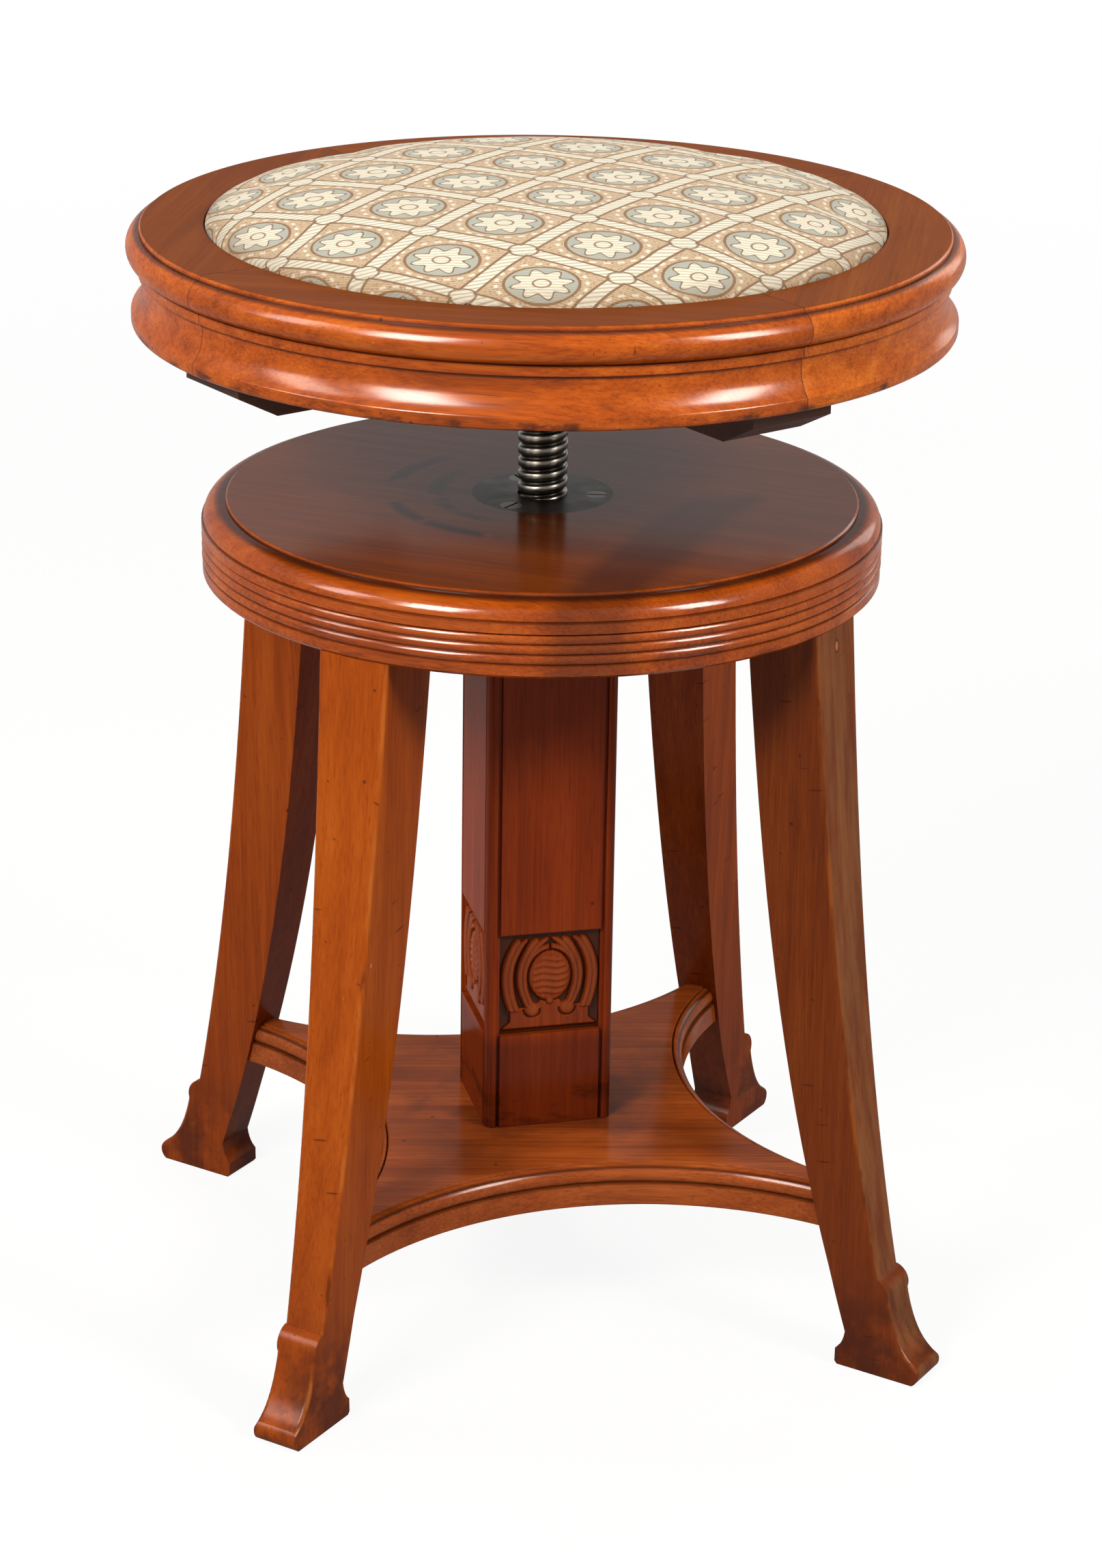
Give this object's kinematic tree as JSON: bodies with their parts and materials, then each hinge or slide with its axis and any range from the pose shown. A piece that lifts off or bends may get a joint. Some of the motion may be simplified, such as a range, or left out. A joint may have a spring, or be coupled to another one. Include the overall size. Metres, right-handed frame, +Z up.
{
  "type": "piano stool",
  "caption": "Revolving piano stool: round drop-in upholstered seat on a lead screw that winds up and down through a moulded round base on sabre legs, with a square column and a hollow-sided undershelf",
  "frame": {"origin": "floor level under the screw axis", "axes": "+Z up along the screw, -Y towards the front, legs on the diagonals"},
  "size_m": [0.356, 0.356, 0.512],
  "materials": {
    "rim_wood": "polished walnut, warm red-brown",
    "base_wood": "polished walnut, dark red-brown",
    "column_wood": "satin walnut, dark red-brown",
    "leg_wood": "satin walnut, orange-brown",
    "bearer_wood": "unpolished, stained dark",
    "frame_wood": "unpolished beech",
    "dowel_wood": "plain beech dowel",
    "screw_steel": "worn bright steel, oiled",
    "fastener_steel": "dull steel",
    "iron": "blackened iron",
    "webbing": "jute webbing",
    "stuffing": "hair and wadding",
    "cover_fabric": "woven upholstery cloth, tan ground with cream figure"
  },
  "bodies": {
    "base": {"base_disc": "base_wood", "nut_plate": "iron", "nut_plate_screws": "fastener_steel", "column_front": "column_wood", "column_right": "column_wood", "column_back": "column_wood", "column_left": "column_wood", "platform": "base_wood", "leg_front_left": "leg_wood", "leg_front_right": "leg_wood", "leg_back_left": "leg_wood", "leg_back_right": "leg_wood", "leg_dowels": "dowel_wood", "platform_dowels": "dowel_wood", "column_screws": "fastener_steel"},
    "guide": {"guide_block": "iron"},
    "seat": {"seat_screw": "screw_steel", "guide_bolt": "fastener_steel", "screw_flange": "iron", "flange_screws": "fastener_steel", "screw_nut": "iron", "bearer_a": "bearer_wood", "bearer_b": "bearer_wood", "bearer_screws": "fastener_steel", "rim_1": "rim_wood", "rim_2": "rim_wood", "rim_3": "rim_wood", "rim_4": "rim_wood", "rim_dowels": "dowel_wood", "pad_frame": "frame_wood", "webbing_lower": "webbing", "webbing_upper": "webbing", "pad_stuffing": "stuffing", "pad_cover": "cover_fabric", "cover_tacks": "fastener_steel"}
  },
  "joints": [
    {"name": "seat_rise", "type": "slide", "parent": "base", "child": "guide", "axis": [0, 0, 1], "range_m": [-0.0564, 0.07896]},
    {"name": "seat_turn", "type": "hinge", "parent": "guide", "child": "seat", "pos_m": [0, 0, 0.25], "axis": [0, 0, 1], "range_deg": [-3600, 5040]}
  ],
  "couplings": [
    {"joint": "seat_rise", "follows": "seat_turn", "m_per_rad": 0.00089763}
  ]
}
